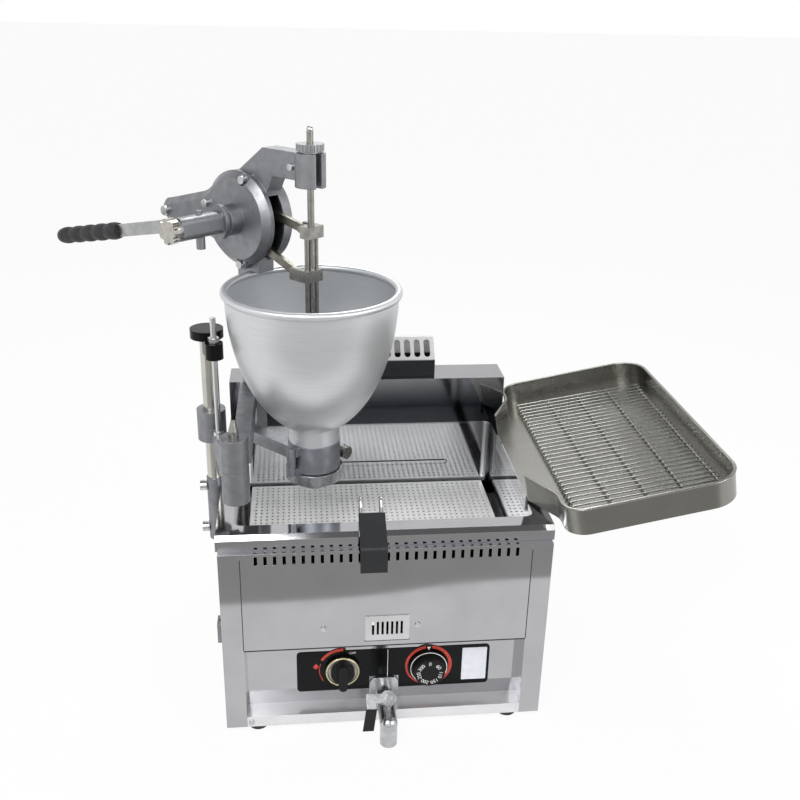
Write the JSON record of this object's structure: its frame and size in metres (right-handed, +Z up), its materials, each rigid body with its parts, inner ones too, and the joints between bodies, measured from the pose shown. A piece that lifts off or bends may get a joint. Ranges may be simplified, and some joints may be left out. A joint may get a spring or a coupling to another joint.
{
  "type": "doughnut fryer",
  "caption": "Bench gas fryer with a frying well, a hand-crank batter depositor with hopper on a swing column, a drain cock and a hook-on drain tray with a wire rack.",
  "frame": {"origin": "on the bench, midway between the rubber feet", "axes": "+Z up, -Y is the front with the controls, +X is the side with the drain tray"},
  "size_m": [0.9311, 0.52, 0.813],
  "materials": {
    "stainless": "polished",
    "steel": "satin",
    "chrome": "polished",
    "casting": "satin casting",
    "spun_aluminium": "spun satin",
    "black_enamel": "gloss black",
    "black_plastic": "matt black",
    "black_rubber": "matt black",
    "rubber": "matt black",
    "brass": "satin"
  },
  "bodies": {
    "casing": {"bottom_pan": "stainless", "left_side_panel": "stainless", "right_side_panel": "stainless", "rear_panel": "stainless", "front_panel": "stainless", "control_panel": "stainless", "bottom_rail": "stainless", "top_deck": "stainless", "splashback": "stainless", "flue_cowl": "stainless", "frying_tank": "stainless", "vent_plate": "stainless", "control_fascia": "black_enamel", "panel_screws": "steel", "feet": "rubber", "drain_pipe": "steel", "burner_tubes": "steel", "burner_bracket": "stainless", "gas_manifold": "steel", "gas_valve_body": "brass", "thermostat_body": "steel", "gas_inlet_pipe": "brass", "drain_plate": "chrome", "drain_valve_body": "chrome", "post_socket": "casting", "socket_screws": "steel", "column_post": "chrome", "column_cap": "black_enamel"},
    "drain_lever": {"drain_lever": "chrome", "lever_sleeve": "black_plastic"},
    "gas_knob": {"gas_knob": "black_plastic"},
    "thermostat_knob": {"thermostat_knob": "black_plastic"},
    "fry_screen": {"fry_screen": "stainless", "screen_wires": "steel", "screen_grip": "black_plastic"},
    "drain_tray": {"drain_tray": "stainless", "tray_hook": "stainless"},
    "wire_rack": {"wire_rack": "chrome"},
    "height_nut": {"height_nut": "steel"},
    "swing_bracket": {"swing_bracket": "casting", "pivot_pin": "steel", "height_screw": "chrome"},
    "depositor": {"swing_arm": "casting", "depositor_frame": "casting", "cam_cover": "casting", "cover_bolts": "steel", "hopper": "spun_aluminium", "nozzle": "spun_aluminium"},
    "crank": {"camshaft": "steel", "crank_hub": "casting", "crank_bar": "steel", "crank_grip": "black_rubber"},
    "star_knob": {"star_knob": "chrome"},
    "upper_lever": {"upper_lever": "steel"},
    "lower_lever": {"lower_lever": "steel"},
    "piston": {"piston": "steel"},
    "centre_rod": {"centre_rod": "steel"},
    "adjusting_nut": {"adjusting_nut": "steel"},
    "neck_gate": {"neck_gate": "casting"},
    "gate_screw": {"gate_screw": "brass"}
  },
  "joints": [
    {"name": "bracket_slide", "type": "slide", "parent": "casing", "child": "swing_bracket", "axis": [0, 0, 1], "range_m": [0, 0.06]},
    {"name": "height_nut_turn", "type": "hinge", "parent": "casing", "child": "height_nut", "pos_m": [-0.22519, -0.08201, 0.545], "axis": [0, 0, 1], "continuous": true},
    {"name": "depositor_swing", "type": "hinge", "parent": "swing_bracket", "child": "depositor", "pos_m": [-0.2, -0.1545, 0.4], "axis": [0, 0, 1], "range_deg": [-26, 0]},
    {"name": "crank_turn", "type": "hinge", "parent": "depositor", "child": "crank", "pos_m": [-0.18014, 0.0267, 0.686], "axis": [0.7193, 0.6947, 0], "range_deg": [0, 180]},
    {"name": "star_knob_turn", "type": "hinge", "parent": "crank", "child": "star_knob", "pos_m": [-0.27005, -0.06013, 0.686], "axis": [-0.7193, -0.6947, 0], "continuous": true},
    {"name": "upper_lever_rock", "type": "hinge", "parent": "depositor", "child": "upper_lever", "pos_m": [-0.27899, 0.13698, 0.676], "axis": [-0.7193, -0.6947, 0], "range_deg": [0, 4.56]},
    {"name": "lower_lever_rock", "type": "hinge", "parent": "depositor", "child": "lower_lever", "pos_m": [-0.2869, 0.12934, 0.676], "axis": [0.7193, 0.6947, 0], "range_deg": [0, 3.46]},
    {"name": "piston_slide", "type": "slide", "parent": "depositor", "child": "piston", "axis": [0, 0, 1], "range_m": [0, 0.02]},
    {"name": "centre_rod_slide", "type": "slide", "parent": "depositor", "child": "centre_rod", "axis": [0, 0, -1], "range_m": [0, 0.015]},
    {"name": "adjusting_nut_turn", "type": "hinge", "parent": "depositor", "child": "adjusting_nut", "pos_m": [-0.094, -0.0625, 0.795], "axis": [0, 0, 1], "continuous": true},
    {"name": "neck_gate_swing", "type": "hinge", "parent": "depositor", "child": "neck_gate", "pos_m": [-0.12637, -0.09376, 0.368], "axis": [0, 0, 1], "range_deg": [-100, 0]},
    {"name": "gate_screw_turn", "type": "hinge", "parent": "neck_gate", "child": "gate_screw", "pos_m": [-0.05324, -0.03704, 0.3555], "axis": [-0.6947, 0.7193, 0], "continuous": true},
    {"name": "gas_knob_turn", "type": "hinge", "parent": "casing", "child": "gas_knob", "pos_m": [-0.06, -0.19, 0.079], "axis": [0, -1, 0], "range_deg": [0, 150]},
    {"name": "thermostat_turn", "type": "hinge", "parent": "casing", "child": "thermostat_knob", "pos_m": [0.064, -0.19, 0.079], "axis": [0, -1, 0], "range_deg": [0, 270]},
    {"name": "drain_lever_turn", "type": "hinge", "parent": "casing", "child": "drain_lever", "pos_m": [0, -0.216, 0.0445], "axis": [0, -0.7071, 0.7071], "range_deg": [0, 90]},
    {"name": "screen_lift", "type": "slide", "parent": "casing", "child": "fry_screen", "axis": [0, 0, 1], "range_m": [0, 0.08]},
    {"name": "tray_lift", "type": "slide", "parent": "casing", "child": "drain_tray", "axis": [0, 0, 1], "range_m": [0, 0.12]},
    {"name": "rack_lift", "type": "slide", "parent": "drain_tray", "child": "wire_rack", "axis": [-0.1925, 0, 0.9813], "range_m": [0, 0.08]}
  ],
  "couplings": [
    {"joint": "upper_lever_rock", "follows": "crank_turn", "ratio": 0.025337},
    {"joint": "lower_lever_rock", "follows": "crank_turn", "ratio": 0.019226},
    {"joint": "piston_slide", "follows": "crank_turn", "m_per_rad": 0.0063662},
    {"joint": "centre_rod_slide", "follows": "crank_turn", "m_per_rad": 0.0047746}
  ]
}
